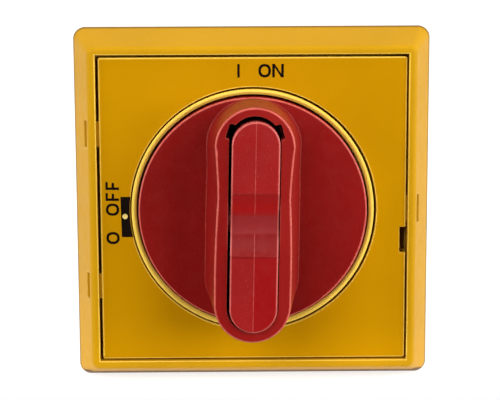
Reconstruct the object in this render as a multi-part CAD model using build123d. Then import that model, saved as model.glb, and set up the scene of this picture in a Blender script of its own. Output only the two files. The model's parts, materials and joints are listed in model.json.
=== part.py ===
from build123d import *
import os

# Rotary isolator switch for a panel door, in millimetres.
#
# Every piece is drawn in panel coordinates: x to the right, y up and h out of the panel towards
# the user, with h = 0 on the panel's outer surface and the rotary axis at x = y = 0.
# export_piece then turns it into the part's own frame: +X right, +Y into the panel, +Z up.

# Front frame
FRAME = 67.0            # outside size of the square front
FRAME_CORNER = 2.2      # outside corner radius
SKIRT = 0.6             # upright edge before the bevel starts
RIM_H = 9.1             # height of the front rim
RIM = 60.5              # outside size of the rim, before its edge is rounded
RIM_CORNER = 1.3
RIM_ROUND = 1.0
RIM_LIP = 0.2           # rounding of the rim's inner edge
OPENING = 57.8          # inside size of the rim, where the legend plate sits
FLOOR = 3.0             # thickness of the floor behind the legend plate
LEDGE_H = 7.0           # the legend plate rests here
LEDGE_OUT = 55.9        # a drain groove runs between the ledge and the rim
DRAIN_H = 5.0
CAVITY = 53.4           # inside size below the ledge
BEARING_R = 8.05        # bore that the handle's hub turns in
BEARING_TOP = 6.0
CLIP_RECESS_R = 9.9     # recess behind the bearing for the retaining clip
CLIP_RECESS = 1.6
COLLAR_R = 22.55        # ring round the disc, outside
COLLAR_IN = 21.6
COLLAR_H = 9.2
COLLAR_ROUND = 0.2      # its outer edge is rounded, its inner edge slopes to the disc
COLLAR_SLOPE = (0.45, 0.4)
LOCK_R = 11.8           # the lock pin's distance from the rotary axis
PAD_R = 3.2             # pads that hold the lock pin's two pockets
PAD_H = 6.3
POCKET_R = 1.95
POCKET_END = 0.8
GASKET_OUT = 62.0       # square seal in the back of the frame
GASKET_IN = 55.2
GASKET = 1.4

# Legend plate
LEGEND = 57.0
LEGEND_T = 1.4
LEGEND_ROUND = 0.3      # rounding round the outside of its face
LEGEND_HOLE = 22.95
HOLE_ROUND = 0.2
LEGEND_PLAY = (0.12, -0.1)   # the plate has settled this far off centre in the frame
PRY_X = (27.45, 28.7)   # notch for a screwdriver that lifts the plate
PRY_Y = (-8.4, -3.5)
TAB_H = (6.4, 8.1)      # height of the snap tabs' windows in the bevel
TAB_TIP = 30.4
TAB_PLAY = 0.15
TABS_LEFT = ((11.65, 16.7), (-17.1, -12.05))
TABS_RIGHT = ((-2.84, 2.52),)

# Panel and fixing
PANEL = 3.0             # the panel is clamped in this gap
FIX = 24.0              # fixing screws stand at plus and minus this, both ways
STUD_R = 2.0
ROOT_R = 1.7            # the screws' thread, drawn at its root

# Handle
DISC_R = 21.2
DISC_H = 10.4
DISC_T = 1.5
DISC_IN = 19.4
SKIRT_END = 3.8
GRIP_TOP = 26.0
LEAN = -1.2             # the handle leans this far clockwise, by its play on the square shaft
GRIP_BASE = (8.85, 21.0, 8.83, 8.85)    # on the disc: half width, half length, waist, lower half width
GRIP_UPPER = (7.05, 21.1, 6.42, 6.8)    # the same at the top
WAIST_Y = 4.8
SLOT_HALF = 4.6              # half width of the slot for the padlock lever
SLOT_ENDS = (-19.3, 19.6)
INSERT_R = 19.1
INSERT_BOTTOM = 6.7
HUB_R = 8.0
HUB_END = -0.5
SQUARE = 6.0            # square drive shaft
SOCKET = 3.09           # half width of the handle's socket, with the play that lets it lean

# Padlock lever, a see-saw in the grip
PIVOT_Y = 0.85
PIVOT_H = 22.5
PIN_R = 1.2
RUNNING = 0.05          # radial clearance of everything that turns
LEVER_HALF = 4.25
LEVER_X = 0.15          # the lever lies to one side of its slot, by its sideways play
LEVER_ENDS = (-19.1, 18.7)
LEVER_TOP = 27.0
ARM_BOTTOM = 21.5
LEVER_DEEP = 32.0       # degrees that the lower arm reaches round the pivot
DIP_Y = 0.5             # finger dip across the lever
DIP_DEPTH = 1.5
DIP_HALF = 5.6

# Switch behind the panel
FLANGE = 58.0
FLANGE_T = 4.0
BODY_X = 48.0
BODY_Y = 56.0
DETENT_DEPTH = 8.0
DECKS = 3
DECK_DEPTH = 13.0
CHAMBER_R = 15.5
JOURNAL_R = 7.0
TIE_X = 20.0            # two long screws hold the stack together
TIE_R = 1.5
TERMINAL_Y = 21.0       # terminal screws, measured from the axis
COVER_T = 3.0
FLANGE_H = -PANEL
DETENT_H = FLANGE_H - FLANGE_T
DECK_H = DETENT_H - DETENT_DEPTH
COVER_H = DECK_H - DECKS * DECK_DEPTH

TO_PART = Rot(90, 0, 0)


def export_piece(name, *shapes):
    """Write one node, turned from panel coordinates into the part's frame."""
    turned = [TO_PART * solid for shape in shapes for solid in shape.solids()]
    export_step(turned[0] if len(turned) == 1 else Compound(children=turned), f"parts/{name}.step")


def block(x, y, h):
    """A box given by its limits along x, y and h."""
    size = [abs(b - a) for a, b in (x, y, h)]
    middle = [(a + b) / 2 for a, b in (x, y, h)]
    return Pos(*middle) * Box(*size)


def post(x, y, radius, h):
    """A cylinder along h."""
    return Pos(x, y, (h[0] + h[1]) / 2) * Cylinder(radius, abs(h[1] - h[0]))


def cross_rod(x, y, h, radius):
    """A cylinder along x."""
    return Pos((x[0] + x[1]) / 2, y, h) * Rot(0, 90, 0) * Cylinder(radius, abs(x[1] - x[0]))


def upright_rod(x, y, h, radius):
    """A cylinder along y."""
    return Pos(x, (y[0] + y[1]) / 2, h) * Rot(90, 0, 0) * Cylinder(radius, abs(y[1] - y[0]))


def square_plate(size, corner, h):
    """A square plate with rounded corners between two heights."""
    return extrude(Pos(0, 0, h[0]) * RectangleRounded(size, size, corner), h[1] - h[0])


def oblong(half_width, ends, h):
    """An upright slot shape, round at both ends, between two heights."""
    length = ends[1] - ends[0]
    outline = Pos(0, (ends[0] + ends[1]) / 2, h[0]) * SlotOverall(length, 2 * half_width, rotation=90)
    return extrude(outline, h[1] - h[0])


def crosshead_screw(head_r, head, shank_r, length):
    """Pan head with its underside at 0, shank towards -Z, and a cross recess."""
    body = Pos(0, 0, head / 2) * Cylinder(head_r, head)
    body = fillet(body.edges().group_by(Axis.Z)[-1], head * 0.35)
    body += Pos(0, 0, -length / 2) * Cylinder(shank_r, length)
    body = chamfer(body.edges().group_by(Axis.Z)[0], shank_r * 0.3)
    for angle in (0, 90):
        body -= Pos(0, 0, head) * Rot(0, 0, angle) * Box(head_r * 1.1, head_r * 0.22, head)
    return body


def four_corners(distance_x, distance_y):
    """The corners of a rectangle centred on the axis."""
    return [(sx * distance_x, sy * distance_y) for sx in (-1, 1) for sy in (-1, 1)]


# ---------------------------------------------------------------- front

def front_frame():
    skirt = square_plate(FRAME, FRAME_CORNER, (0, SKIRT))
    low = Pos(0, 0, SKIRT) * RectangleRounded(FRAME, FRAME, FRAME_CORNER)
    high = Pos(0, 0, RIM_H) * RectangleRounded(RIM, RIM, RIM_CORNER)
    body = skirt + loft([low, high])
    body = fillet(body.edges().group_by(Axis.Z)[-1], RIM_ROUND)
    body -= block((-OPENING / 2, OPENING / 2), (-OPENING / 2, OPENING / 2), (LEDGE_H, RIM_H + 1))
    lip = body.faces().sort_by(Axis.Z)[-1].inner_wires()[0]
    body = fillet(lip.edges(), RIM_LIP)
    body -= square_plate(CAVITY, 2.0, (FLOOR, LEDGE_H))
    # collar round the disc, bearing and the two pads of the padlock position
    collar = post(0, 0, COLLAR_R, (FLOOR, COLLAR_H)) - post(0, 0, COLLAR_IN, (FLOOR, COLLAR_H + 1))
    outer = collar.edges().group_by(Axis.Z)[-1].sort_by(SortBy.RADIUS)[-1]
    body += fillet(outer, COLLAR_ROUND)
    slope, drop = COLLAR_SLOPE
    body -= Pos(0, 0, COLLAR_H - drop / 2) * Cone(COLLAR_IN, COLLAR_IN + slope, drop)
    body += post(0, 0, BEARING_R + 1.9, (FLOOR, BEARING_TOP))
    for x, y in ((0, LOCK_R), (-LOCK_R, 0)):
        body += post(x, y, PAD_R, (FLOOR, PAD_H))
        body -= post(x, y, POCKET_R, (POCKET_END, PAD_H + 1))
    body -= post(0, 0, BEARING_R, (-1, PAD_H + 1))
    body -= post(0, 0, CLIP_RECESS_R, (-1, CLIP_RECESS))
    # narrow drain groove along the foot of the rim, round the legend plate's ledge
    body -= square_plate(OPENING, 0.1, (DRAIN_H, LEDGE_H)) - square_plate(LEDGE_OUT, 0.5, (DRAIN_H, LEDGE_H))
    # fixing holes, with room in the walls for the screw heads
    for x, y in four_corners(FIX, FIX):
        body -= post(x, y, 2.2, (-1, FLOOR + 1))
        body -= post(x, y, 3.8, (FLOOR, LEDGE_H))
    # snap windows in the bevel, and the notches in the ledge that lead to them
    for side, spans in ((-1, TABS_LEFT), (1, TABS_RIGHT)):
        for span in spans:
            body -= block((side * 26.0, side * 34.0), span, TAB_H)
            body -= block((side * 26.0, side * OPENING / 2), span, (TAB_H[0], LEDGE_H + 1))
    # pocket under the legend plate's notch, for the screwdriver's tip
    body -= block((CAVITY / 2 - 0.1, PRY_X[1]), PRY_Y, (FLOOR, LEDGE_H + 1))
    # groove for the seal
    groove = square_plate(GASKET_OUT, 3.0, (-1, GASKET)) - square_plate(GASKET_IN, 2.0, (-1, GASKET))
    return body - groove


def panel_gasket():
    ring = square_plate(GASKET_OUT - 0.1, 2.95, (0, GASKET)) - square_plate(GASKET_IN + 0.1, 2.0, (0, GASKET))
    return ring


def legend_plate():
    plate = square_plate(LEGEND, 0.4, (LEDGE_H + 0.02, LEDGE_H + LEGEND_T))
    plate = fillet(plate.edges().group_by(Axis.Z)[-1], LEGEND_ROUND)
    plate -= post(0, 0, LEGEND_HOLE, (0, RIM_H))
    mouth = plate.edges().group_by(Axis.Z)[-1].filter_by(GeomType.CIRCLE).sort_by(SortBy.RADIUS)[-1]
    plate = fillet(mouth, HOLE_ROUND)
    plate = Pos(*LEGEND_PLAY, 0) * plate
    plate -= block((PRY_X[0], LEGEND), PRY_Y, (0, RIM_H))
    for side, spans in ((-1, TABS_LEFT), (1, TABS_RIGHT)):
        for low, high in spans:
            tab_y = (low + TAB_PLAY, high - TAB_PLAY)
            tab = block((side * 26.2, side * TAB_TIP), tab_y, (TAB_H[0] + TAB_PLAY, TAB_H[1] - TAB_PLAY))
            plate += tab - block((side * 28.5, side * 40), (low, high), (TAB_H[1] - 0.2, RIM_H))
    return plate


def fixing_screws():
    """Four panel screws; only the middle of each shank is full size, in the panel's gap."""
    seat = FLOOR
    tip = DETENT_H + 0.3
    screws = []
    for x, y in four_corners(FIX, FIX):
        screw = Pos(x, y, seat) * crosshead_screw(3.5, 2.3, ROOT_R, seat - tip)
        screw += post(x, y, STUD_R, (-0.05, -PANEL + 0.05))
        screws.append(screw)
    return screws


# ---------------------------------------------------------------- handle

def grip_outline(half_width, half_length, waist, lower_half_width, h):
    """Plan of the grip: two round ends joined by sides that come in to a waist above the middle."""
    upper = half_length - half_width
    lower = lower_half_width - half_length
    swell = (lower_half_width * 2 + waist) / 3
    sides = []
    for side in (1, -1):
        shoulder = (half_width * side, upper)
        middle = (((half_width + waist) / 2 - 0.1) * side, (upper + WAIST_Y) / 2)
        narrow = (waist * side, WAIST_Y)
        sides.append(ThreePointArc(shoulder, middle, narrow))
        sides.append(ThreePointArc(narrow, (swell * side, 0), (lower_half_width * side, lower)))
    top = ThreePointArc((half_width, upper), (0, half_length), (-half_width, upper))
    bottom = ThreePointArc((-lower_half_width, lower), (0, -half_length), (lower_half_width, lower))
    return Pos(0, 0, h) * make_face([top, *sides, bottom])


def handle_knob():
    disc = post(0, 0, DISC_R, (SKIRT_END, DISC_H))
    disc = fillet(disc.edges().group_by(Axis.Z)[-1], 0.4)
    disc -= post(0, 0, DISC_IN, (0, DISC_H - DISC_T))
    low = grip_outline(*GRIP_BASE, DISC_H - DISC_T)
    high = grip_outline(*GRIP_UPPER, GRIP_TOP)
    grip = loft([low, high])
    grip = fillet(grip.edges().group_by(Axis.Z)[-1], 0.4)
    body = disc + grip
    # slot with its two corner reliefs, and the wider space below it
    body -= oblong(SLOT_HALF, SLOT_ENDS, (0, GRIP_TOP + 1))
    for side in (-1, 1):
        relief = Pos(side * 4.15, 16.8, GRIP_TOP) * Rot(0, 0, side * 16) * Box(1.5, 2.7, 16)
        relief = fillet(relief.edges().filter_by(Axis.Z), 0.3)
        body -= relief
    # grooves for the lever's pin, open towards the back
    body -= block((-6.0, 6.0), (PIVOT_Y - 2, PIVOT_Y + 2), (0, PIVOT_H - 1.3))
    body -= cross_rod((-6.0, 6.0), PIVOT_Y, PIVOT_H, PIN_R + 0.03)
    body -= block((-6.0, 6.0), (PIVOT_Y - PIN_R, PIVOT_Y + PIN_R), (0, PIVOT_H))
    for x, y in four_corners(6.7, 9.0):
        body -= post(x, y, 1.15, (0, 15.5))
    return body


def handle_insert():
    """Black carrier screwed into the back of the knob: hub, lock-pin guide and pin posts."""
    plate_top = DISC_H - DISC_T
    body = post(0, 0, INSERT_R, (INSERT_BOTTOM, plate_top - 0.02))
    body += post(0, 0, HUB_R, (HUB_END, plate_top - 0.02))
    body += post(0, LOCK_R, 3.9, (plate_top - 1, 12.4))
    for side in (-1, 1):
        leg = ((side * 4.8), side * 5.9)
        body += block(leg, (PIVOT_Y - 1.9, PIVOT_Y + 1.9), (plate_top - 1, PIVOT_H - 1.4))
    # rib that the lower arm rests on, and the lock pin's guide with its spring seat
    body += block((-3.0, 3.0), (-15.6, -14.6), (plate_top - 1, 12.2))
    body -= post(0, LOCK_R, 1.55, (0, 20))
    body -= post(0, LOCK_R, 2.75, (9.6, 20))
    # square socket, handle screw hole and the grooves for the clip and the O-ring
    body -= block((-SOCKET, SOCKET), (-SOCKET, SOCKET), (HUB_END - 1, 5.7))
    body -= post(0, 0, 1.6, (0, 20))
    body -= post(0, 0, HUB_R + 1, (0.35, 1.45)) - post(0, 0, 7.0, (0, 2))
    body -= post(0, 0, HUB_R + 1, (4.3, 5.5)) - post(0, 0, 6.95, (4, 6))
    for x, y in four_corners(6.7, 9.0):
        body -= post(x, y, 1.4, (0, 20))
        body -= Pos(x, y, INSERT_BOTTOM + 0.7) * Cone(2.4, 1.3, 1.4)
    return body


def insert_screws():
    """Four countersunk screws that hold the carrier in the knob."""
    screws = []
    for x, y in four_corners(6.7, 9.0):
        head = Pos(x, y, INSERT_BOTTOM + 0.68) * Cone(2.25, 1.1, 1.3)
        screw = head + post(x, y, 1.1, (INSERT_BOTTOM + 1, 15.0))
        for angle in (0, 90):
            screw -= Pos(x, y, INSERT_BOTTOM) * Rot(0, 0, angle) * Box(2.6, 0.5, 1.2)
        screws.append(screw)
    return screws


def handle_screw():
    return Pos(0, 0, DISC_H - DISC_T) * crosshead_screw(2.75, 1.9, 1.5, 7.9)


def hub_o_ring():
    return Pos(0, 0, 4.9) * Torus(7.5, 0.52)


def retaining_clip():
    ring = post(0, 0, 9.6, (0.4, 1.4)) - post(0, 0, 7.05, (0, 2))
    ring -= block((-4.2, 4.2), (-12, 0), (0, 2))
    for side in (-1, 1):
        ring -= post(side * 6.05, 6.05, 0.75, (0, 2))
    return ring


def padlock_lever():
    body = oblong(LEVER_HALF, LEVER_ENDS, (PIVOT_H, LEVER_TOP))
    body = fillet(body.edges().group_by(Axis.Z)[-1], 0.35)
    # the lower arm's end is turned about the pivot, so that it fills the slot while it swings out
    reach = PIVOT_Y - LEVER_ENDS[0]
    profile = Pos(0, PIVOT_Y, PIVOT_H) * make_face([
        Line((-LEVER_HALF, -2.5), (LEVER_HALF, -2.5)),
        Line((LEVER_HALF, -2.5), (LEVER_HALF, LEVER_HALF - reach)),
        ThreePointArc((LEVER_HALF, LEVER_HALF - reach), (0, -reach), (-LEVER_HALF, LEVER_HALF - reach)),
        Line((-LEVER_HALF, LEVER_HALF - reach), (-LEVER_HALF, -2.5)),
    ])
    pivot_axis = Axis((0, PIVOT_Y, PIVOT_H), (1, 0, 0))
    body += revolve(profile, pivot_axis, LEVER_DEEP)
    # upper arm and the boss round the pin
    body += oblong(LEVER_HALF, LEVER_ENDS, (ARM_BOTTOM, PIVOT_H)) & block((-9, 9), (-1.65, 30), (0, 40))
    body += cross_rod((-LEVER_HALF, LEVER_HALF), PIVOT_Y, PIVOT_H - 0.3, 3.0)
    body = Pos(LEVER_X, 0, 0) * body
    # thrust faces round the pin
    body += cross_rod((-SLOT_HALF + 0.05, SLOT_HALF - 0.05), PIVOT_Y, PIVOT_H, 2.4)
    dip_r = (DIP_HALF ** 2 + DIP_DEPTH ** 2) / (2 * DIP_DEPTH)
    body -= cross_rod((-9, 9), DIP_Y, LEVER_TOP - DIP_DEPTH + dip_r, dip_r)
    body -= cross_rod((-9, 9), PIVOT_Y, PIVOT_H, PIN_R + RUNNING)
    # window for the shackles
    window = Pos(0, -10.7, 21.7) * Box(20, 13.2, 6.2)
    return body - fillet(window.edges().filter_by(Axis.X), 1.2)


def lever_pin():
    return cross_rod((-5.9, 5.9), PIVOT_Y, PIVOT_H, PIN_R)


def lock_pin():
    body = post(0, LOCK_R, 1.5, (7.0, 21.4)) + post(0, LOCK_R, 2.6, (18.4, 19.4))
    return fillet(body.edges().group_by(Axis.Z)[-1], 0.5)


def lock_pin_spring():
    wire = 0.22
    path = Helix(pitch=1.6, height=8.0, radius=2.05)
    section = Plane(origin=path @ 0, z_dir=path % 0) * Circle(wire)
    coil = sweep(section, path=path, is_frenet=True)
    return Pos(0, LOCK_R, 9.6 + 2 * wire) * coil


def drive_shaft():
    shaft = block((-SQUARE / 2, SQUARE / 2), (-SQUARE / 2, SQUARE / 2), (COVER_H + 0.5, 5.5))
    shaft = chamfer(shaft.edges().filter_by(GeomType.LINE).group_by(Axis.Z)[-1], 0.4)
    return shaft - post(0, 0, 1.53, (0.6, 9))


# ---------------------------------------------------------------- switch behind the panel

def mounting_flange():
    body = square_plate(FLANGE, 3.0, (DETENT_H, FLANGE_H))
    body -= post(0, 0, 5.5, (DETENT_H - 1, 0))
    for x, y in four_corners(FIX, FIX):
        body -= post(x, y, 2.2, (DETENT_H - 1, 0))
        body -= block((x - 3.55, x + 3.55), (y - 3.55, y + 3.55), (DETENT_H - 1, DETENT_H + 2.5))
    for side in (-1, 1):
        body -= post(side * TIE_X, 0, TIE_R + 0.03, (DETENT_H - 1, DETENT_H + 3))
    return body


def flange_nuts():
    nuts = []
    for x, y in four_corners(FIX, FIX):
        nut = block((x - 3.5, x + 3.5), (y - 3.5, y + 3.5), (DETENT_H + 0.05, DETENT_H + 2.45))
        nuts.append(nut - post(x, y, ROOT_R + 0.02, (-20, 0)))
    return nuts


def stack_block(h_front, depth):
    """Outside of one layer of the stack, with the two holes for the long screws."""
    plan = Pos(0, 0, h_front - depth) * RectangleRounded(BODY_X, BODY_Y, 2.0)
    body = extrude(plan, depth)
    layers = body.edges().group_by(Axis.Z)
    body = chamfer(layers[0] + layers[-1], 0.35)
    for side in (-1, 1):
        body -= post(side * TIE_X, 0, TIE_R + 0.2, (h_front + 1, h_front - depth - 1))
    return body


CAM_HALF = 7.5
LEAF = 0.6              # thickness of the detent springs
LEAF_H = (DETENT_H - 0.5, DETENT_H - 4.8)
FINGER_H = (DETENT_H - 5.0, DETENT_H - 5.85)


def detent_housing():
    floor = DETENT_H - 6.0
    body = stack_block(DETENT_H, DETENT_DEPTH)
    body -= block((-16.0, 16.0), (-23.0, 23.0), (floor, DETENT_H + 1))
    body -= post(0, 0, JOURNAL_R + RUNNING, (DETENT_H, DECK_H - 1))
    # slotted posts that hold the ends of the two springs
    for side in (-1, 1):
        for end in (-1, 1):
            body += block((side * 6.4, side * 9.4), (end * 12.6, end * 15.6), (floor, DETENT_H - 0.1))
        slot = (side * (CAM_HALF - 0.01), side * (CAM_HALF + LEAF + 0.05))
        body -= block(slot, (-14.6, 14.6), (LEAF_H[1] - 0.05, DETENT_H + 1))
    # end stops for the cam's finger
    body += block((2.05, 5.0), (9.8, 12.6), (floor, FINGER_H[0]))
    body += block((-12.6, -9.8), (-5.0, -2.05), (floor, FINGER_H[0]))
    return body


def square_bore(h):
    half = SQUARE / 2 + 0.03
    return block((-half, half), (-half, half), h)


def detent_cam():
    side = 2 * (CAM_HALF - 0.02)
    cam = square_plate(side, 3.0, (FINGER_H[0], DETENT_H - 0.3))
    cam += post(0, 0, 7.4, FINGER_H)
    cam += block((-2.0, 2.0), (0, 12.4), FINGER_H)
    cam += post(0, 0, JOURNAL_R, (FINGER_H[1], DECK_H + 0.1))
    return cam - square_bore((DECK_H - 1, DETENT_H + 1))


def detent_spring(side):
    inner = side * CAM_HALF
    return block((inner, inner + side * LEAF), (-14.5, 14.5), LEAF_H)


# Heights inside one deck, measured from its front face
CHAMBER_DEPTH = 11.0
STRIP_TOP = -7.0
STRIP_T = 1.0
BLADE_T = 0.8
BLADE_GAP = 0.02
BLADE_REACH = 14.5
WIRE_X = 4.85
WIRE_R = 2.0
WIRE_H = -4.8
WALL_Y = 25.0           # inside of the wall that the wires pass
FIELD = 0.4             # depth of the marking fields


def deck_housing(h):
    strip_floor = h + STRIP_TOP - STRIP_T - 0.02
    body = stack_block(h, DECK_DEPTH)
    body -= post(0, 0, CHAMBER_R, (h - CHAMBER_DEPTH, h + 1))
    body -= post(0, 0, JOURNAL_R + RUNNING, (h - DECK_DEPTH - 1, h))
    for end in (-1, 1):
        body -= block((-3.6, 3.6), (end * 14.0, end * 17.0), (strip_floor, h + 1))
        body -= block((-3.6, 12.0), (end * 16.6, end * WALL_Y), (strip_floor, h + 1))
        body -= block((-22.0, -5.6), (end * 17.5, end * 26.0), (h - CHAMBER_DEPTH, h + 1))
        body -= upright_rod(WIRE_X, (end * (WALL_Y - 1), end * (BODY_Y / 2 + 1)), h + WIRE_H, WIRE_R)
        body -= cross_rod((11.0, BODY_X / 2 + 1), end * TERMINAL_Y, h + WIRE_H, 3.3)
    # fields for the pole's number at the sides and the terminals' numbers above and below
    field_h = (h - 9.7, h - 3.3)
    for side in (-1, 1):
        body -= block((side * BODY_X, side * (BODY_X / 2 - FIELD)), (-9.0, 9.0), field_h)
        body -= block((-18.0, -6.0), (side * BODY_Y, side * (BODY_Y / 2 - FIELD)), field_h)
    return body


def fixed_contact(h, end):
    """Strip that the blades close on, with the terminal tab standing on its edge."""
    top = h + STRIP_TOP
    body = block((-3.5, 3.5), (end * 11.0, end * 24.7), (top - STRIP_T, top))
    body += block((2.5, 3.5), (end * 17.4, end * 24.7), (top - STRIP_T, h - 1.0))
    return body - cross_rod((1.0, 5.0), end * TERMINAL_Y, h + WIRE_H, 1.8)


def terminal_screws(h):
    screws = []
    for end in (-1, 1):
        lie = Pos(7.6, end * TERMINAL_Y, h + WIRE_H) * Rot(0, 90, 0)
        screws.append(lie * crosshead_screw(2.9, 2.0, 1.75, 6.8))
    return screws


def terminal_washers(h):
    washers = []
    for end in (-1, 1):
        y = end * TERMINAL_Y
        washer = block((6.7, 7.55), (y - 3.2, y + 3.2), (h + WIRE_H - 3.0, h + WIRE_H + 3.0))
        washers.append(washer - cross_rod((6.0, 8.0), y, h + WIRE_H, 1.85))
    return washers


def blade_pair(h):
    """Two copper blades that close on the strips from the front and from behind."""
    front = h + STRIP_TOP + BLADE_GAP
    rear = h + STRIP_TOP - STRIP_T - BLADE_GAP - BLADE_T
    blades = []
    for low in (front, rear):
        arms = extrude(Pos(0, 0, low) * SlotOverall(2 * BLADE_REACH, 7.0, rotation=90), BLADE_T)
        blade = arms + post(0, 0, 6.9, (low, low + BLADE_T)) - post(0, 0, 4.95, (low - 1, low + 2))
        blades.append(blade)
    return blades


def rotor_cheek(h_low, h_high, split_low, split_high):
    """One cheek of a rotor with the two ridges that drive the blades."""
    cheek = post(0, 0, 10.5, (h_low, h_high))
    ridges = post(0, 0, 10.5, (split_low, split_high)) - post(0, 0, 7.0, (split_low - 1, split_high + 1))
    ridges -= block((-3.55, 3.55), (-12, 12), (split_low - 1, split_high + 1))
    return cheek + ridges


def rotor_base(h):
    seat = h + STRIP_TOP - STRIP_T - BLADE_GAP - BLADE_T - 0.02
    split = h + STRIP_TOP - STRIP_T / 2 - 0.02
    body = rotor_cheek(h - CHAMBER_DEPTH + 0.2, seat, seat, split)
    body += post(0, 0, 4.9, (seat, h - 2.5))
    body += post(0, 0, JOURNAL_R, (h - DECK_DEPTH + 0.1, seat))
    return body - square_bore((h - DECK_DEPTH - 1, h + 1))


def rotor_cap(h):
    seat = h + STRIP_TOP + BLADE_GAP + BLADE_T + 0.02
    split = h + STRIP_TOP - STRIP_T / 2 + 0.02
    body = rotor_cheek(seat, h - 0.4, split, seat)
    body -= post(0, 0, 4.93, (h - DECK_DEPTH, h - 2.4))
    return body - square_bore((h - 3, h + 1))


def rear_cover():
    """Cover with a low dished boss over the shaft's end and four stiffening ribs."""
    back = COVER_H - COVER_T
    body = stack_block(COVER_H, COVER_T)
    body += post(0, 0, 8.0, (back - 0.8, back))
    body -= post(0, 0, 5.0, (back - 1, back - 0.4))
    for angle in (45, 135, 225, 315):
        body += Rot(0, 0, angle) * block((11.0, 23.0), (-0.8, 0.8), (back - 0.6, back + 0.1))
    return body - block((-3.4, 3.4), (-3.4, 3.4), (COVER_H - 1.5, COVER_H + 1))


def assembly_screws():
    """Two long screws from the rear cover into the mounting flange."""
    seat = COVER_H - COVER_T
    length = DETENT_H + 2.7 - seat
    turned = Rot(180, 0, 0) * crosshead_screw(2.8, 2.0, TIE_R, length)
    return [Pos(side * TIE_X, 0, seat) * turned for side in (-1, 1)]


def main():
    os.makedirs("parts", exist_ok=True)
    lean = Rot(0, 0, LEAN)
    export_piece("front_frame", front_frame())
    export_piece("panel_gasket", panel_gasket())
    export_piece("legend_plate", legend_plate())
    export_piece("fixing_screws", *fixing_screws())
    export_piece("handle_knob", lean * handle_knob())
    export_piece("handle_insert", lean * handle_insert())
    export_piece("insert_screws", *[lean * screw for screw in insert_screws()])
    export_piece("handle_screw", lean * handle_screw())
    export_piece("hub_o_ring", hub_o_ring())
    export_piece("retaining_clip", retaining_clip())
    export_piece("padlock_lever", lean * padlock_lever())
    export_piece("lever_pin", lean * lever_pin())
    export_piece("lock_pin", lean * lock_pin())
    export_piece("lock_pin_spring", lean * lock_pin_spring())
    export_piece("drive_shaft", drive_shaft())
    export_piece("mounting_flange", mounting_flange())
    export_piece("flange_nuts", *flange_nuts())
    export_piece("detent_housing", detent_housing())
    export_piece("detent_cam", detent_cam())
    export_piece("detent_spring_left", detent_spring(-1))
    export_piece("detent_spring_right", detent_spring(1))
    for deck in range(DECKS):
        h = DECK_H - deck * DECK_DEPTH
        number = deck + 1
        export_piece(f"deck_housing_{number}", deck_housing(h))
        export_piece(f"rotor_base_{number}", rotor_base(h))
        export_piece(f"rotor_cap_{number}", rotor_cap(h))
        export_piece(f"blade_pair_{number}", *blade_pair(h))
        export_piece(f"line_contact_{number}", fixed_contact(h, 1))
        export_piece(f"load_contact_{number}", fixed_contact(h, -1))
        export_piece(f"terminal_screws_{number}", *terminal_screws(h))
        export_piece(f"terminal_washers_{number}", *terminal_washers(h))
    export_piece("rear_cover", rear_cover())
    export_piece("assembly_screws", *assembly_screws())


main()
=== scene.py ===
import json
import math

import bmesh
import bpy
from mathutils import Matrix, Vector


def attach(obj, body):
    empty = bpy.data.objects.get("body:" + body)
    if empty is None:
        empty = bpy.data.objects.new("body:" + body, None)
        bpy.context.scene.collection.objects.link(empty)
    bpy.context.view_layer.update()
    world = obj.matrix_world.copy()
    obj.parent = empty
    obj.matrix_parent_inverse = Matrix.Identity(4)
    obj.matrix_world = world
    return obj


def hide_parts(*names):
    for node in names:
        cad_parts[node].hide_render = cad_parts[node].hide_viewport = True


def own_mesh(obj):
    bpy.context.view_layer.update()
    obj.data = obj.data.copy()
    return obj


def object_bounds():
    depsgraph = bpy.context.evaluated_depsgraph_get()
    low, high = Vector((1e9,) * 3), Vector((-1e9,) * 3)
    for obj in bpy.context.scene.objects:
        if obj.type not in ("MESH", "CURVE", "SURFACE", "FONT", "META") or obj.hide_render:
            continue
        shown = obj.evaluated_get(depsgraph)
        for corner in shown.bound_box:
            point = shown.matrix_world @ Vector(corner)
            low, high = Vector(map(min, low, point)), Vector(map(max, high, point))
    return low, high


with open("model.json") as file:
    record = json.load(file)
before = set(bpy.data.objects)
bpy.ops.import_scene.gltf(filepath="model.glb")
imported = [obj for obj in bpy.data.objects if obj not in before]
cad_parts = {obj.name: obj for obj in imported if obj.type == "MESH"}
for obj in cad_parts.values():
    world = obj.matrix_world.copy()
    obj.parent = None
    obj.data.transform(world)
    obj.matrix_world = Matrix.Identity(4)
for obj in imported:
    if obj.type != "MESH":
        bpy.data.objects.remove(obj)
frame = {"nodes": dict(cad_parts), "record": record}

# Rotary isolator switch: looks. Lengths in this script are millimetres unless a name says metres.
# Panel coordinates: x to the right, y up, h out of the panel towards the user.
cad_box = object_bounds()
MM = 0.001
scene = bpy.context.scene


def panel(x, y, h):
    """A point in panel coordinates as a point of the frame, in metres."""
    return Vector((x, -h, y)) * MM


# ---------------------------------------------------------------- camera, lights and floor

CAMERA_AT = (-3.5, 55.1, 316.5)         # panel coordinates
CAMERA_TURN = (-0.56, -9.82, -0.24)     # yaw, pitch and roll, degrees
LENS = 120.8                            # for a 36 mm wide sensor
ROOM_FADE = (-0.7, 0.6, 0.07, 0.90)     # the room's light, from the camera's side to behind the switch
ROOM_COLOR = (1, 0.98, 0.95, 1)
LIGHTS = (              # name, place in metres, size in metres, watts
    ("key", (0.90, -0.98, 0.42), (0.9, 0.9), 16.4),
    ("fill", (-0.5, -1.05, 0.60), (0.7, 0.7), 9.2),
    ("left", (-1.2, -0.30, 0.20), (0.4, 0.6), 8.0),
    ("right", (1.2, -0.05, 0.05), (0.4, 0.6), 7.0),
    ("top", (0.0, -0.25, 1.20), (0.6, 0.4), 2.9),
)
FLOOR_HALF_WIDTH_M = 3.0
FLOOR_FRONT_M, FLOOR_BACK_M = -0.015, 4.0   # it starts close to the front, which would mirror it otherwise
FLOOR_LEVEL_M = cad_box[0][2]           # the front's lower edge stands on the floor
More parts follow.
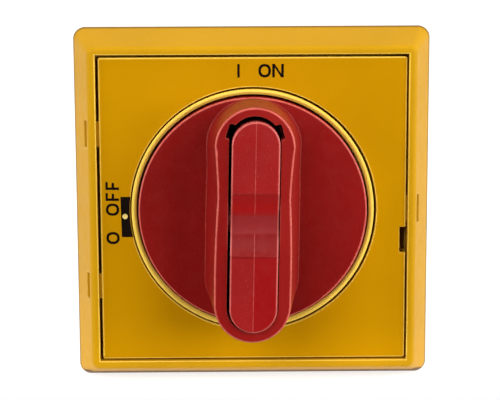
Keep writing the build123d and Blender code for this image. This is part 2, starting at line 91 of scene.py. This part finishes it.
FLOOR_GREY = 0.45
FLOOR_GLOW = 0.78       # lifts the floor to the backdrop's white


def add_camera():
    """The camera, a little above the switch and looking down on its front."""
    data = bpy.data.cameras.new("camera")
    data.lens = LENS
    data.sensor_width = 36.0
    data.clip_start = 0.01
    data.clip_end = 20.0
    camera = bpy.data.objects.new("camera", data)
    yaw, pitch, roll = (math.radians(a) for a in CAMERA_TURN)
    turn = (Matrix.Rotation(math.pi / 2, 4, "X") @ Matrix.Rotation(yaw, 4, "Y")
            @ Matrix.Rotation(pitch, 4, "X") @ Matrix.Rotation(roll, 4, "Z"))
    camera.matrix_world = Matrix.Translation(panel(*CAMERA_AT)) @ turn
    scene.collection.objects.link(camera)
    scene.camera = camera


def add_light(name, at, size, watts):
    """An area light at a point in metres, aimed at the centre of the switch's front."""
    data = bpy.data.lights.new(name, "AREA")
    data.shape = "RECTANGLE"
    data.size, data.size_y = size
    data.energy = watts
    light = bpy.data.objects.new(name, data)
    light.location = at
    light.rotation_euler = (Vector((0, 0, 0)) - Vector(at)).to_track_quat("-Z", "Y").to_euler()
    scene.collection.objects.link(light)


def add_world():
    """White backdrop for the camera; for everything else a room that is bright behind and dark in front."""
    world = bpy.data.worlds.new("studio")
    world.use_nodes = True
    tree = world.node_tree
    room = tree.nodes["Background"]
    coords = tree.nodes.new("ShaderNodeTexCoord")
    split = tree.nodes.new("ShaderNodeSeparateXYZ")
    depth = tree.nodes.new("ShaderNodeMapRange")
    for socket, value in zip(list(depth.inputs)[1:5], ROOM_FADE):
        socket.default_value = value
    tree.links.new(coords.outputs["Generated"], split.inputs["Vector"])
    tree.links.new(split.outputs["Y"], depth.inputs["Value"])
    tree.links.new(depth.outputs["Result"], room.inputs["Strength"])
    room.inputs["Color"].default_value = ROOM_COLOR
    backdrop = tree.nodes.new("ShaderNodeBackground")
    backdrop.inputs["Color"].default_value = (1, 1, 1, 1)
    backdrop.inputs["Strength"].default_value = 1.0
    path = tree.nodes.new("ShaderNodeLightPath")
    mix = tree.nodes.new("ShaderNodeMixShader")
    tree.links.new(path.outputs["Is Camera Ray"], mix.inputs["Fac"])
    tree.links.new(room.outputs["Background"], mix.inputs[1])
    tree.links.new(backdrop.outputs["Background"], mix.inputs[2])
    tree.links.new(mix.outputs["Shader"], tree.nodes["World Output"].inputs["Surface"])
    scene.world = world


def add_lights():
    """The studio's five lights; colours are shown as they are, without a film curve."""
    for light in LIGHTS:
        add_light(*light)
    scene.view_settings.view_transform = "Standard"


def add_floor():
    """Plain white floor from just before the switch to far behind it."""
    mesh = bpy.data.meshes.new("floor")
    side, level = FLOOR_HALF_WIDTH_M, FLOOR_LEVEL_M
    corners = [(-side, FLOOR_FRONT_M, level), (side, FLOOR_FRONT_M, level),
               (side, FLOOR_BACK_M, level), (-side, FLOOR_BACK_M, level)]
    mesh.from_pydata(corners, [], [(0, 1, 2, 3)])
    floor = bpy.data.objects.new("floor", mesh)
    scene.collection.objects.link(floor)
    material = bpy.data.materials.new("floor_white")
    material.use_nodes = True
    shader = material.node_tree.nodes["Principled BSDF"]
    shader.inputs["Base Color"].default_value = (FLOOR_GREY, FLOOR_GREY, FLOOR_GREY, 1)
    shader.inputs["Emission Color"].default_value = (1, 1, 1, 1)
    shader.inputs["Emission Strength"].default_value = FLOOR_GLOW
    shader.inputs["Roughness"].default_value = 0.9
    shader.inputs["Specular IOR Level"].default_value = 0.0
    mesh.materials.append(material)


# ---------------------------------------------------------------- materials

LEAN = math.radians(-1.2)               # the handle's lean on its shaft
COLLAR_LIT_RADII = (22.1, 22.45)             # painted light on the collar's slope, inside these radii
LIP = 28.9              # half size of the opening inside the front's rim
PLATE_X, PLATE_Y = 0.12, -0.1           # centre of the legend plate
PLATE_SIDE = 28.5       # its half size
HOLE_R = 23.05          # its hole, with most of the rounding of the edge
LEVER_X = 0.15          # the lever lies this far right in its slot
LEVER_HALF = 4.25       # half its width, and the radius of its ends
LEVER_ENDS = (-19.1, 18.7)
DIP_Z = 0.3             # middle of the lever's finger dip
DIP_HALF = 5.7          # half its height

GRAIN_DEPTH = 0.012     # of moulded plastic
BRUSH_DEPTH = 0.01      # of drawn or plated metal
METAL_EDGE = 0.08       # rounding of its edges
THREAD_PITCH, THREAD_DEPTH = 0.7, 0.35

# painted shade along the front's skirt next to the panel, reaching up the bottom bevel
SKIRT_SHADE = (0.07, 0.022, 0.004)
EDGE_HIGHLIGHT = (0.90, 0.62, 0.09)          # painted highlight along the yellow edges of the front's lip and the legend plate
# colour of the painted light on the collar's slope
COLLAR_LIGHT = (0.82, 0.47, 0.10)
# colour of the painted highlights along the knob's rounded edges
KNOB_EDGE_HIGHLIGHT = (0.64, 0.12, 0.09)
KNOB_LIT_SIDE = (0.280, 0.008, 0.006)    # painted light on the grip's right side
# pale red of the lever's worn edges and specks, and of its painted highlights along the edges and the mould
# line
LEVER_WEAR_AND_HIGHLIGHT = (0.78, 0.19, 0.16)
LEVER_RIGHT_SHADE = (0.285, 0.001, 0.002)     # painted shade on the right half of the lever below its dip
DIP_SHADING = (           # painted light and shade across the finger dip: from and to, above the dip's middle, and the colour there
    (2.3, 5.6, (0.350, 0.005, 0.005)), (-1.6, 1.6, (0.25, 0.019, 0.020)), (-5.75, -1.7, (0.190, 0.0, 0.0)))


class Nodes:
    """Small helper that adds and joins shader nodes of one material."""

    def __init__(self, name):
        self.material = bpy.data.materials.new(name)
        self.material.use_nodes = True
        self.tree = self.material.node_tree
        self.shader = self.tree.nodes["Principled BSDF"]
        coords = self.add("ShaderNodeTexCoord")
        scale = self.add("ShaderNodeMapping")
        scale.inputs["Scale"].default_value = (1 / MM,) * 3
        self.link(coords.outputs["Object"], scale.inputs["Vector"])
        self.at = scale.outputs["Vector"]       # object position in millimetres

    def add(self, kind, **settings):
        node = self.tree.nodes.new(kind)
        for key, value in settings.items():
            setattr(node, key, value)
        return node

    def link(self, source, target):
        self.tree.links.new(source, target)

    def math(self, operation, a, b=0.0, c=0.0):
        node = self.add("ShaderNodeMath", operation=operation)
        for socket, value in zip(node.inputs, (a, b, c)):
            if isinstance(value, (int, float)):
                socket.default_value = value
            else:
                self.link(value, socket)
        return node.outputs[0]

    def noise(self, scale, detail=2.0, roughness=0.5, stretch=None):
        """Noise with its scale per millimetre, from 0 to 1."""
        at = self.at
        if stretch:
            mapping = self.add("ShaderNodeMapping")
            mapping.inputs["Scale"].default_value = stretch
            self.link(at, mapping.inputs["Vector"])
            at = mapping.outputs["Vector"]
        node = self.add("ShaderNodeTexNoise")
        node.inputs["Scale"].default_value = scale
        node.inputs["Detail"].default_value = detail
        node.inputs["Roughness"].default_value = roughness
        self.link(at, node.inputs["Vector"])
        return node.outputs["Fac"]

    def ramp(self, value, stops):
        """Colour that runs between two stops, each a value and its colour."""
        node = self.add("ShaderNodeValToRGB")
        for element, (position, color) in zip(node.color_ramp.elements, stops):
            element.position = position
            element.color = (*color, 1)
        self.link(value, node.inputs["Fac"])
        return node.outputs["Color"]

    def range(self, value, low, high, new_low, new_high):
        """The value carried over from one range to another, and clamped at both ends."""
        node = self.add("ShaderNodeMapRange")
        for socket, number in zip(list(node.inputs)[1:5], (low, high, new_low, new_high)):
            socket.default_value = number
        self.link(value, node.inputs["Value"])
        return node.outputs["Result"]

    def mix(self, factor, a, b):
        """Colour a where the factor is 0 and b where it is 1; each may be a socket or a plain colour."""
        node = self.add("ShaderNodeMix", data_type="RGBA")
        sockets = [s for s in node.inputs if s.type == "RGBA"]
        self.link(factor, node.inputs["Factor"])
        for socket, color in zip(sockets, (a, b)):
            if isinstance(color, bpy.types.NodeSocket):
                self.link(color, socket)
            else:
                socket.default_value = (*color, 1)
        return [s for s in node.outputs if s.type == "RGBA"][0]

    def round_edges(self, radius):
        """Normal of the surface with its edges rounded, radius in millimetres."""
        node = self.add("ShaderNodeBevel", samples=6)
        node.inputs["Radius"].default_value = radius * MM
        return node.outputs["Normal"]

    def edge_mask(self, radius):
        """1 at convex and concave edges, 0 on open faces."""
        geometry = self.add("ShaderNodeNewGeometry")
        dot = self.add("ShaderNodeVectorMath", operation="DOT_PRODUCT")
        self.link(self.round_edges(radius), dot.inputs[0])
        self.link(geometry.outputs["Normal"], dot.inputs[1])
        return self.range(dot.outputs["Value"], 0.98, 0.75, 0.0, 1.0)

    def bump(self, height, strength, distance, normal=None):
        node = self.add("ShaderNodeBump")
        node.inputs["Strength"].default_value = strength
        node.inputs["Distance"].default_value = distance * MM
        self.link(height, node.inputs["Height"])
        if normal is not None:
            self.link(normal, node.inputs["Normal"])
        return node.outputs["Normal"]

    def axis(self, letter):
        """Object position along X, Y or Z; Y is the height over the panel, turned negative."""
        node = self.add("ShaderNodeSeparateXYZ")
        self.link(self.at, node.inputs["Vector"])
        return node.outputs[letter]

    def facing(self):
        """1 on faces parallel to the panel that look out of it, 0 on faces that stand upright on it."""
        coords = self.add("ShaderNodeTexCoord")
        split = self.add("ShaderNodeSeparateXYZ")
        self.link(coords.outputs["Normal"], split.inputs["Vector"])
        return self.math("MULTIPLY", split.outputs["Y"], -1.0)

    def above(self, low, high):
        """0 below the first height over the panel, 1 above the second."""
        return self.range(self.axis("Y"), -low, -high, 0.0, 1.0)

    def product(self, *factors):
        """All the factors multiplied, from the first on."""
        result = factors[0]
        for factor in factors[1:]:
            result = self.math("MULTIPLY", result, factor)
        return result

    def away(self, x, z):
        """Signed distances across and up from a line along Y, in millimetres."""
        return self.math("SUBTRACT", self.axis("X"), x), self.math("SUBTRACT", self.axis("Z"), z)

    def from_centre(self, x, z):
        """Distance from a line along Y."""
        across, up = self.away(x, z)
        return self.math("SQRT", self.math("MULTIPLY_ADD", across, across, self.math("MULTIPLY", up, up)))

    def out_to_side(self, x, z):
        """Half size of the upright square round that line that passes through the point."""
        across, up = self.away(x, z)
        return self.math("MAXIMUM", self.math("ABSOLUTE", across), self.math("ABSOLUTE", up))

    def finish(self, color, roughness, normal, **values):
        """Joins the results to the shader, sets its other values and gives the material."""
        self.link(color, self.shader.inputs["Base Color"])
        self.link(roughness, self.shader.inputs["Roughness"])
        self.link(normal, self.shader.inputs["Normal"])
        for key, value in values.items():
            self.shader.inputs[key.replace("_", " ")].default_value = value
        return self.material


def plastic(name, color, wear_and_highlight, rough, grain=6.0, edge=0.25, specular=0.5, mottle=0.06, edge_strength=0.5,
            pale_edge_radius=None, specks=0.25, speck_size=3.0, marks=None):
    """Moulded plastic: slow colour drift, fine spark-eroded grain, rounded edges painted paler, partly as
    wear and partly as painted highlight.
    """
    n = Nodes(name)
    drift = n.noise(0.06, 3.0)
    darker = tuple(c * (1 - mottle) for c in color)
    lighter = tuple(min(1.0, c * (1 + mottle)) for c in color)
    base = n.ramp(drift, [(0.3, darker), (0.7, lighter)])
    pits = n.noise(speck_size, 4.0, 0.7)
    base = n.mix(n.range(pits, 0.60, 0.78, 0.0, specks), base, wear_and_highlight)
    base = n.mix(n.range(pits, 0.42, 0.25, 0.0, specks), base, tuple(c * 0.55 for c in color))
    blotches = n.noise(0.8, 4.0, 0.65)
    if marks:
        base = marks(n, base, blotches)
    # pale edges: partly wear, partly painted highlight
    mask = n.edge_mask(pale_edge_radius or edge)
    mask = n.math("MULTIPLY", mask, n.range(blotches, 0.3, 0.7, 0.35, 1.0))
    base = n.mix(n.math("MULTIPLY", mask, edge_strength), base, wear_and_highlight)
    fine = n.noise(grain, 2.0, 0.5)
    normal = n.bump(fine, 0.35, GRAIN_DEPTH, n.round_edges(edge))
    roughness = n.range(n.noise(0.5, 3.0, 0.6), 0.3, 0.7, rough - 0.05, rough + 0.07)
    return n.finish(base, roughness, normal, Specular_IOR_Level=specular)


def front_marks(n, base, blotches):
    """The front's collar painted lighter as painted light, a painted highlight along its lip, and painted
    shade where its skirt meets the panel.
    """
    # painted light on the collar's slope
    painted_light = n.range(n.from_centre(0, 0), COLLAR_LIT_RADII[1], COLLAR_LIT_RADII[0], 0.0, 0.8)
    base = n.mix(painted_light, base, COLLAR_LIGHT)
    # painted highlight along the lip round the front's opening, fainter at the bottom
    lip = n.range(n.out_to_side(0, 0), LIP + 0.22, LIP + 0.12, 0.0, 1.0)
    fainter_below = n.range(n.axis("Z"), -27.0, -28.5, 1.0, 0.65)
    base = n.mix(n.product(lip, n.above(8.8, 8.95), fainter_below), base, EDGE_HIGHLIGHT)
    # painted shade where the skirt meets the panel
    down = n.math("MULTIPLY", n.axis("Z"), -1.0)
    on_bottom = n.math("SUBTRACT", down, n.math("ABSOLUTE", n.axis("X")))
    higher = n.range(on_bottom, -0.3, 0.6, 0.0, 3.4)    # the painted shade climbs the bottom bevel
    skirt_shade = n.range(n.math("ADD", n.axis("Y"), higher), -1.5, -0.6, 0.0, 0.9)
    return n.mix(n.product(skirt_shade, n.range(blotches, 0.2, 0.7, 0.8, 1.0)), base, SKIRT_SHADE)


def plate_marks(n, base, blotches):
    """Painted highlights along the legend plate's rounded edges, outside and round the hole."""
    side = n.range(n.out_to_side(PLATE_X, PLATE_Y), PLATE_SIDE - 0.32, PLATE_SIDE - 0.2, 0.0, 1.0)
    hole = n.range(n.from_centre(PLATE_X, PLATE_Y), HOLE_R + 0.15, HOLE_R + 0.05, 0.0, 1.0)
    # painted highlight on the plate's outer edges and round its hole
    edge_highlight = n.product(n.math("MAXIMUM", side, hole), n.above(7.9, 8.1), n.range(blotches, 0.2, 0.7, 0.75, 1.0))
    return n.mix(edge_highlight, base, EDGE_HIGHLIGHT)


def knob_marks(n, base, blotches):
    """Painted light on the grip's right side, and painted highlights along the knob's rounded edges."""
    # painted light on the grip's right side
    painted_light = n.product(n.above(10.5, 20.0), n.range(n.axis("X"), -6.0, 3.0, 0.0, 1.0))
    base = n.mix(painted_light, base, KNOB_LIT_SIDE)
    # painted highlights along the knob's rounded edges, between its faces and its sides
    facing = n.facing()
    off_sides = n.range(facing, 0.25, 0.45, 0.0, 1.0)
    off_faces = n.range(facing, 0.985, 0.93, 0.0, 1.0)
    return n.mix(n.product(off_sides, off_faces, n.range(blotches, 0.25, 0.7, 0.5, 0.95)), base, KNOB_EDGE_HIGHLIGHT)


def lever_marks(n, base, blotches):
    """Painted light and shade across the finger dip, painted shade on the lever's lower right, and painted
    highlights along its mould line and its edge.
    """
    along = n.math("MULTIPLY", n.axis("X"), math.cos(LEAN))
    across = n.math("SUBTRACT", n.math("MULTIPLY_ADD", n.axis("Z"), math.sin(LEAN), along), LEVER_X)
    up = n.math("SUBTRACT", n.axis("Z"), DIP_Z)
    # painted light on the dip's upper slope, a greyer band in its middle and painted shade on its lower slope
    for low, high, color in DIP_SHADING:
        from_low = n.range(up, low - 0.3, low + 0.2, 0.0, 1.0)
        to_high = n.range(up, high + 0.3, high - 0.2, 0.0, 1.0)
        base = n.mix(n.product(from_low, to_high, n.range(blotches, 0.2, 0.8, 0.6, 1.0)), base, color)
    # painted shade on the lever's right half below the dip
    right = n.range(across, -0.1, 0.1, 0.0, 1.0)
    below_dip = n.range(up, 0.2 - DIP_HALF, -0.2 - DIP_HALF, 0.0, 1.0)
    base = n.mix(n.product(below_dip, right, n.range(blotches, 0.2, 0.8, 0.5, 1.0)), base, LEVER_RIGHT_SHADE)
    # painted highlight along the mould line down the lever's middle
    ridge = n.range(n.math("ABSOLUTE", across), 0.02, 0.10, 1.0, 0.0)
    off_middle = n.range(n.math("ABSOLUTE", up), 1.3, 2.1, 0.0, 1.0)
    base = n.mix(n.product(ridge, off_middle, n.range(blotches, 0.3, 0.65, 0.08, 0.42)), base, LEVER_WEAR_AND_HIGHLIGHT)
    # painted highlight along the lever's edge
    low_end, high_end = LEVER_ENDS
    middle, straight = (high_end + low_end) / 2, (high_end - low_end) / 2 - LEVER_HALF
    from_middle = n.math("ABSOLUTE", n.math("SUBTRACT", n.axis("Z"), middle))
    past = n.math("MAXIMUM", n.math("SUBTRACT", from_middle, straight), 0.0)
    out = n.math("SQRT", n.math("MULTIPLY_ADD", across, across, n.math("MULTIPLY", past, past)))
    edge = n.range(out, LEVER_HALF - 0.32, LEVER_HALF - 0.2, 0.0, 1.0)
    return n.mix(n.product(edge, n.above(24.9, 25.2), n.range(blotches, 0.25, 0.7, 0.3, 0.6)), base, LEVER_WEAR_AND_HIGHLIGHT)


def metal(name, color, dull, rough=0.3, brush=(1.0, 1.0, 0.05), thread_axis=None, patches=None):
    """Plated or drawn metal: brushed along one axis, with duller patches and soft edges."""
    n = Nodes(name)
    streaks = n.noise(6.0, 5.0, 0.6, brush)
    tarnish = n.noise(0.35, 5.0, 0.6)
    base = n.mix(n.range(tarnish, 0.35, 0.75, 0.0, 1.0), color, dull)
    if patches:
        base = n.mix(n.range(n.noise(0.5, 3.0), 0.45, 0.6, 0.0, 0.7), base, patches)
    normal = n.bump(streaks, 0.25, BRUSH_DEPTH, n.round_edges(METAL_EDGE))
    if thread_axis:
        wave = n.math("PINGPONG", n.axis(thread_axis), THREAD_PITCH / 2)
        normal = n.bump(wave, 0.9, THREAD_DEPTH, normal)
    roughness = n.range(streaks, 0.3, 0.7, rough - 0.06, rough + 0.12)
    return n.finish(base, roughness, normal, Metallic=1.0)


def rubber(name, color):
    """Black elastomer, uneven and dull."""
    n = Nodes(name)
    darker, lighter = tuple(c * 0.7 for c in color), tuple(c * 1.6 for c in color)
    base = n.ramp(n.noise(0.3, 4.0, 0.6), [(0.3, darker), (0.75, lighter)])
    normal = n.bump(n.noise(5.0, 3.0), 0.5, 0.02, n.round_edges(0.2))
    roughness = n.range(n.noise(1.0, 2.0), 0.3, 0.7, 0.65, 0.85)
    return n.finish(base, roughness, normal, Specular_IOR_Level=0.3)


def make_materials():
    """One material for each slot of the record."""
    plastics = {
        "frame_yellow": dict(
            color=(0.53, 0.27, 0.003), wear_and_highlight=(0.85, 0.56, 0.14), rough=0.42, specular=0.06, mottle=0.05,
            edge=0.2, pale_edge_radius=0.45, edge_strength=1.0, marks=front_marks),
        "legend_yellow": dict(
            color=(0.51, 0.24, 0.0), wear_and_highlight=(0.85, 0.52, 0.08), rough=0.45, specular=0.02, mottle=0.05,
            edge=0.2, pale_edge_radius=0.45, edge_strength=1.0, grain=9.0, speck_size=4.5, marks=plate_marks),
        "handle_red": dict(
            color=(0.235, 0.004, 0.003), wear_and_highlight=(0.55, 0.09, 0.06), rough=0.36, specular=0.22, mottle=0.10,
            pale_edge_radius=0.36, edge_strength=0.9, specks=0.45, marks=knob_marks),
        "lever_red": dict(
            color=(0.295, 0.008, 0.008), wear_and_highlight=LEVER_WEAR_AND_HIGHLIGHT, rough=0.34, specular=0.3, mottle=0.10,
            pale_edge_radius=0.4, edge_strength=1.0, specks=0.6, marks=lever_marks),
        "carrier_black": dict(color=(0.012, 0.012, 0.013), wear_and_highlight=(0.05, 0.05, 0.05), rough=0.5),
        "flange_black": dict(color=(0.016, 0.016, 0.018), wear_and_highlight=(0.06, 0.06, 0.06), rough=0.5),
        "body_grey": dict(color=(0.030, 0.032, 0.035), wear_and_highlight=(0.10, 0.10, 0.11), rough=0.48, edge=0.3),
        "rotor_plastic": dict(color=(0.62, 0.55, 0.42), wear_and_highlight=(0.75, 0.70, 0.60), rough=0.45),
    }
    metals = {
        "zinc_steel": dict(color=(0.62, 0.64, 0.66), dull=(0.42, 0.42, 0.40), rough=0.28, thread_axis="Y"),
        "shaft_steel": dict(
            color=(0.52, 0.52, 0.53), dull=(0.34, 0.33, 0.32), rough=0.32, brush=(1.0, 0.05, 1.0)),
        "spring_steel": dict(color=(0.30, 0.31, 0.34), dull=(0.18, 0.17, 0.17)),
        "contact_copper": dict(color=(0.80, 0.36, 0.20), dull=(0.48, 0.20, 0.11), patches=(0.72, 0.68, 0.62)),
    }
    made = {name: plastic(name, **values) for name, values in plastics.items()}
    made.update({name: metal(name, **values) for name, values in metals.items()})
    made["seal_rubber"] = rubber("seal_rubber", (0.02, 0.02, 0.022))
    return made


def dress_cad_nodes(materials):
    """Gives every CAD node the material of its slot in the record."""
    for entry in frame["record"]["subparts"]:
        node = frame["nodes"][entry["node"]]
        node.data.materials.clear()
        node.data.materials.append(materials[entry["material_slot"]])


# ---------------------------------------------------------------- printed marks

FACE_H = 8.4            # face of the legend plate
BODY_X, BODY_Y = 24.0, 28.0             # half sizes of the switch body
FIELD = 0.4             # depth of its marking fields
POLES = (-21.5, -34.5, -47.5)           # middle of each pole's fields, along h
PRINT = 0.025           # thickness of the printed ink
CAP = 2.48              # height of the letters
STROKE = 0.47
OVAL_STEPS, OVAL_POWER = 48, 2.3        # an O is slightly squarer than an ellipse, whose power is 2
TOP_ROW = 24.65         # foot of the letters over the handle
LEFT_ROW = -24.88       # foot of the letters that read upwards
ON_MARKS = (            # name, letter, left side, width
    ("mark_I", "I", -2.72, 0.42), ("mark_ON_O", "O", 1.16, 2.3), ("mark_ON_N", "N", 3.70, 2.13))
OFF_MARKS = (           # name, letter, lower side, width
    ("mark_O", "O", -6.44, 2.3), ("mark_OFF_O", "O", -1.05, 2.3), ("mark_OFF_F1", "F", 1.75, 1.5),
    ("mark_OFF_F2", "F", 3.82, 1.5))
BLOCK_LOW, BLOCK_HIGH = (-24.45, -5.12), (-24.62, 2.5)  # outer corners of the block at OFF
BLOCK_ROWS = 16
DOT_AT, DOT_R, DOT_STEPS = (-23.8, -1.22), 0.5, 32
NUMBER_SIZE = 4.2
NUMBER_X = 12.0         # the terminal numbers stand this far left of the rotary axis
NUMBER_THICK = 0.05


def ink(name, color):
    """Printed ink of uneven density."""
    n = Nodes(name)
    darker, lighter = tuple(c * 0.6 for c in color), tuple(c * 1.3 for c in color)
    base = n.ramp(n.noise(2.0, 4.0, 0.7), [(0.25, darker), (0.8, lighter)])
    normal = n.bump(n.noise(9.0, 2.0), 0.3, 0.01)
    return n.finish(base, n.range(n.noise(1.2, 3.0), 0.3, 0.7, 0.4, 0.6), normal, Specular_IOR_Level=0.03)


def ring(half_x, half_y, stroke):
    """An O: outer and inner loops of a slightly squared oval, as quads round the ring."""
    def loop(a, b):
        points = []
        for k in range(OVAL_STEPS):
            angle = 2 * math.pi * k / OVAL_STEPS
            c, s = math.cos(angle), math.sin(angle)
            squared = (abs(c) ** OVAL_POWER + abs(s) ** OVAL_POWER) ** (-1 / OVAL_POWER)
            points.append((half_x + a * c * squared, half_y + b * s * squared))
        return points
    outer, inner = loop(half_x, half_y), loop(half_x - stroke, half_y - stroke)
    following = [(k + 1) % OVAL_STEPS for k in range(OVAL_STEPS)]
    return [[outer[k], outer[j], inner[j], inner[k]] for k, j in enumerate(following)]


def bar(x0, y0, x1, y1):
    """A rectangle by two opposite corners."""
    return [(x0, y0), (x1, y0), (x1, y1), (x0, y1)]


def letter(character, width):
    """Flat shapes of a letter of height CAP, with its lower left corner at 0, 0."""
    if character == "O":
        return ring(width / 2, CAP / 2, STROKE)
    if character == "I":
        return [bar(0, 0, width, CAP)]
    if character == "F":
        middle = CAP * 0.54
        return [bar(0, 0, STROKE, CAP), bar(STROKE, CAP - STROKE * 0.9, width, CAP),
                bar(STROKE, middle - STROKE * 0.9, width * 0.9, middle)]
    if character == "N":
        slant, right = STROKE * 1.38, width - STROKE
        return [bar(0, 0, STROKE, CAP), bar(right, 0, width, CAP),
                [(STROKE, CAP), (STROKE, CAP - slant), (right, 0), (right, slant)]]
    raise ValueError(character)


def printed(name, shapes, material, turned=False, at=(0, 0), low=FACE_H - 0.005, high=FACE_H + PRINT):
    """A thin printed piece from flat shapes, upright or turned to read upwards."""
    mesh = bpy.data.meshes.new(name)
    bm = bmesh.new()
    for shape in shapes:
        placed = [(-y, x) if turned else (x, y) for x, y in shape]
        base = [bm.verts.new(panel(x + at[0], y + at[1], low)) for x, y in placed]
        top = [bm.verts.new(panel(x + at[0], y + at[1], high)) for x, y in placed]
        bm.faces.new(top)
        bm.faces.new(base[::-1])
        for k in range(len(base)):
            j = (k + 1) % len(base)
            bm.faces.new((base[k], base[j], top[j], top[k]))
    bmesh.ops.remove_doubles(bm, verts=bm.verts, dist=1e-7)
    bmesh.ops.recalc_face_normals(bm, faces=bm.faces)
    bm.to_mesh(mesh)
    bm.free()
    piece = bpy.data.objects.new(name, mesh)
    scene.collection.objects.link(piece)
    mesh.materials.append(material)
    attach(piece, "housing")


def add_marks():
    """I and ON over the handle; O and OFF at the left, reading upwards, with the block and dot of OFF."""
    black = ink("mark_ink", (0.008, 0.004, 0.003))
    pale = ink("dot_ink", (0.80, 0.62, 0.20))
    for name, character, x, width in ON_MARKS:
        printed(name, letter(character, width), black, at=(x, TOP_ROW))
    for name, character, y, width in OFF_MARKS:
        printed(name, letter(character, width), black, turned=True, at=(LEFT_ROW, y))
    printed("index_block", block_shapes(), black)
    angles = [2 * math.pi * k / DOT_STEPS for k in range(DOT_STEPS)]
    dot = [(DOT_AT[0] + DOT_R * math.cos(angle), DOT_AT[1] + DOT_R * math.sin(angle)) for angle in angles]
    printed("index_dot", [dot], pale, low=FACE_H + PRINT * 0.5, high=FACE_H + PRINT * 1.8)


def block_shapes():
    """The block from its straight outer side to the legend plate's hole, in rows from low to high."""
    rows = []
    for k in range(BLOCK_ROWS + 1):
        share = k / BLOCK_ROWS
        y = BLOCK_LOW[1] + (BLOCK_HIGH[1] - BLOCK_LOW[1]) * share
        outer = BLOCK_LOW[0] + (BLOCK_HIGH[0] - BLOCK_LOW[0]) * share
        hole = PLATE_X - math.sqrt(HOLE_R * HOLE_R - (y - PLATE_Y) ** 2)
        rows.append((outer, hole, y))
    return [[(a0, y0), (b0, y0), (b1, y1), (a1, y1)] for (a0, b0, y0), (a1, b1, y1) in zip(rows, rows[1:])]


def number(name, text, at, across, up, out, material):
    """A number on the switch body: centred at a point, with the directions given in the frame."""
    curve = bpy.data.curves.new(name, "FONT")
    curve.body = text
    curve.size = NUMBER_SIZE
    curve.align_x = "CENTER"
    curve.align_y = "CENTER"
    curve.extrude = NUMBER_THICK
    typed = bpy.data.objects.new(name + "_typed", curve)
    scene.collection.objects.link(typed)
    bpy.context.view_layer.update()
    mesh = bpy.data.meshes.new_from_object(typed.evaluated_get(bpy.context.evaluated_depsgraph_get()))
    bpy.data.objects.remove(typed)
    bpy.data.curves.remove(curve)
    mesh.name = name
    turn = Matrix((across, up, out)).transposed().to_4x4()
    mesh.transform(Matrix.Translation(at) @ turn @ Matrix.Scale(MM, 4))
    piece = bpy.data.objects.new(name, mesh)
    scene.collection.objects.link(piece)
    piece.data.materials.clear()
    piece.data.materials.append(material)
    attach(piece, "housing")


def add_lock_spring(material):
    """The lock pin's spring, copied with a mesh of its own and carried with the handle."""
    node = frame["nodes"]["lock_pin_spring"]
    spring = bpy.data.objects.new("lock_pin_coil", node.data.copy())
    spring.matrix_world = node.matrix_world.copy()
    scene.collection.objects.link(spring)
    spring.data.materials.clear()
    spring.data.materials.append(material)
    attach(spring, "handle")
    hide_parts("lock_pin_spring")
    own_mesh(spring)


def add_numbers():
    """Pole numbers at the sides and terminal numbers above and below, in their sunk fields."""
    pale = ink("number_ink", (0.55, 0.55, 0.53))
    right, up, behind = Vector((1, 0, 0)), Vector((0, 0, 1)), Vector((0, 1, 0))
    side, end = BODY_X - FIELD, BODY_Y - FIELD
    for pole, h in enumerate(POLES, 1):
        line, load = str(2 * pole - 1), str(2 * pole)
        number(f"number_right_{pole}", str(pole), panel(side, 0, h), behind, up, right, pale)
        number(f"number_left_{pole}", str(pole), panel(-side, 0, h), -behind, up, -right, pale)
        number(f"number_line_{pole}", line, panel(-NUMBER_X, end, h), -right, -behind, up, pale)
        number(f"number_load_{pole}", load, panel(-NUMBER_X, -end, h), right, -behind, -up, pale)


add_camera()
add_world()
add_lights()
add_floor()
materials = make_materials()
dress_cad_nodes(materials)
add_lock_spring(materials["spring_steel"])
add_marks()
add_numbers()
